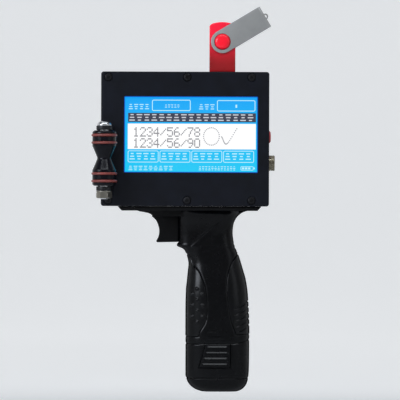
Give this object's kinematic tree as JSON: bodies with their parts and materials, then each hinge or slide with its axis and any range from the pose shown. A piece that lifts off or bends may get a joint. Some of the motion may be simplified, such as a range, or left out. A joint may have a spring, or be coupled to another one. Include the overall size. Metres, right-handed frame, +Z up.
{
  "type": "handheld date code inkjet printer",
  "caption": "Pistol-grip inkjet coder: touch-screen head, side nozzle with guide roller, trigger, plug-in memory stick and slide-out battery in the handle.",
  "frame": {"origin": "on the battery's flat base, under the middle of the grip, in the plane where the two handle shells meet", "axes": "+Z up along the grip towards the head; the screen faces -Y; the nozzle and the guide roller are on the -X side; +X is towards the back of the grip"},
  "size_m": [0.131, 0.0859, 0.2763],
  "materials": {
    "head_shell": "matte",
    "black_screws": "satin",
    "screen": "gloss",
    "inner_plastic": "matte",
    "circuit_board": "satin",
    "bright_steel": "polished",
    "cartridge_shell": "satin",
    "gold_contacts": "satin",
    "red_button": "satin",
    "nickel": "satin",
    "bracket_metal": "satin",
    "anodised_roller": "satin",
    "roller_rings": "satin",
    "red_plastic": "gloss",
    "grey_metal": "satin",
    "handle_plastic": "satin",
    "grip_rubber": "matte",
    "cell_can": "satin"
  },
  "bodies": {
    "printer": {"head_housing": "head_shell", "front_panel": "head_shell", "panel_screw_1": "black_screws", "panel_screw_2": "black_screws", "panel_screw_3": "black_screws", "panel_screw_4": "black_screws", "panel_screw_5": "black_screws", "panel_screw_6": "black_screws", "touch_glass": "screen", "display_module": "inner_plastic", "control_board": "circuit_board", "usb_socket": "bright_steel", "cartridge_carrier": "inner_plastic", "ink_cartridge": "cartridge_shell", "nozzle_plate": "gold_contacts", "contact_block": "gold_contacts", "door_hinge_pin": "bright_steel", "power_switch": "inner_plastic", "sensor_connector": "nickel", "connector_insert": "gold_contacts", "roller_bracket": "bracket_metal", "roller_bolt": "bright_steel", "roller_nut": "nickel", "bracket_screw_1": "black_screws", "bracket_screw_2": "black_screws", "handle_shell_front": "handle_plastic", "handle_shell_rear": "handle_plastic", "grip_pad_front": "grip_rubber", "grip_pad_rear": "grip_rubber", "handle_screw_1": "black_screws", "handle_screw_2": "black_screws", "handle_screw_3": "black_screws", "handle_screw_4": "black_screws", "flange_screw_1": "black_screws", "flange_screw_2": "black_screws", "flange_screw_3": "black_screws", "flange_screw_4": "black_screws", "trigger_switch": "inner_plastic", "trigger_spring": "bright_steel"},
    "trigger_lever": {"trigger": "handle_plastic"},
    "roller": {"guide_roller": "anodised_roller", "roller_o_ring_1": "roller_rings", "roller_o_ring_2": "roller_rings", "roller_o_ring_3": "roller_rings", "roller_o_ring_4": "roller_rings", "roller_bearing_lower": "bright_steel", "roller_bearing_upper": "bright_steel"},
    "memory_stick": {"usb_drive_body": "red_plastic", "usb_drive_plug": "bright_steel", "usb_pivot_rivet": "red_plastic"},
    "stick_cover": {"usb_swivel_cover": "grey_metal"},
    "button": {"power_button": "red_button"},
    "door": {"cartridge_door": "head_shell"},
    "battery": {"battery_housing": "handle_plastic", "battery_cap": "handle_plastic", "battery_cell_1": "cell_can", "battery_cell_2": "cell_can", "battery_cell_3": "cell_can"},
    "front_latch": {"latch_front": "handle_plastic"},
    "rear_latch": {"latch_rear": "handle_plastic"}
  },
  "joints": [
    {"name": "trigger_pull", "type": "slide", "parent": "printer", "child": "trigger_lever", "axis": [1, 0, 0], "range_m": [0, 0.0055], "stiffness_N_per_m": 500, "springref_m": -0.003, "deforming": ["trigger_spring"]},
    {"name": "roller_spin", "type": "hinge", "parent": "printer", "child": "roller", "pos_m": [-0.0808, -0.0418, 0.167], "axis": [0, 0, 1], "continuous": true},
    {"name": "usb_drive_pull", "type": "slide", "parent": "printer", "child": "memory_stick", "axis": [0, 0, 1], "range_m": [0, 0.016]},
    {"name": "usb_cover_swivel", "type": "hinge", "parent": "memory_stick", "child": "stick_cover", "pos_m": [0.003, -0.013, 0.2509], "axis": [0, -1, 0], "range_deg": [-48, 170]},
    {"name": "power_button_press", "type": "slide", "parent": "printer", "child": "button", "axis": [-1, 0, 0], "range_m": [0, 0.0015], "stiffness_N_per_m": 1500, "springref_m": -0.0008},
    {"name": "cartridge_door_swing", "type": "hinge", "parent": "printer", "child": "door", "pos_m": [-0.002, 0.0324, 0.181], "axis": [0, 0, -1], "range_deg": [0, 110]},
    {"name": "battery_slide", "type": "slide", "parent": "printer", "child": "battery", "axis": [0, 0, -1], "range_m": [0, 0.05]},
    {"name": "latch_front_press", "type": "hinge", "parent": "battery", "child": "front_latch", "pos_m": [0, -0.0203, 0.01725], "axis": [-1, 0, 0], "range_deg": [0, 4.5], "stiffness_Nm_per_rad": 0.9, "springref_deg": -1.15},
    {"name": "latch_rear_press", "type": "hinge", "parent": "battery", "child": "rear_latch", "pos_m": [0, 0.0203, 0.01725], "axis": [1, 0, 0], "range_deg": [0, 4.5], "stiffness_Nm_per_rad": 0.9, "springref_deg": -1.15}
  ]
}
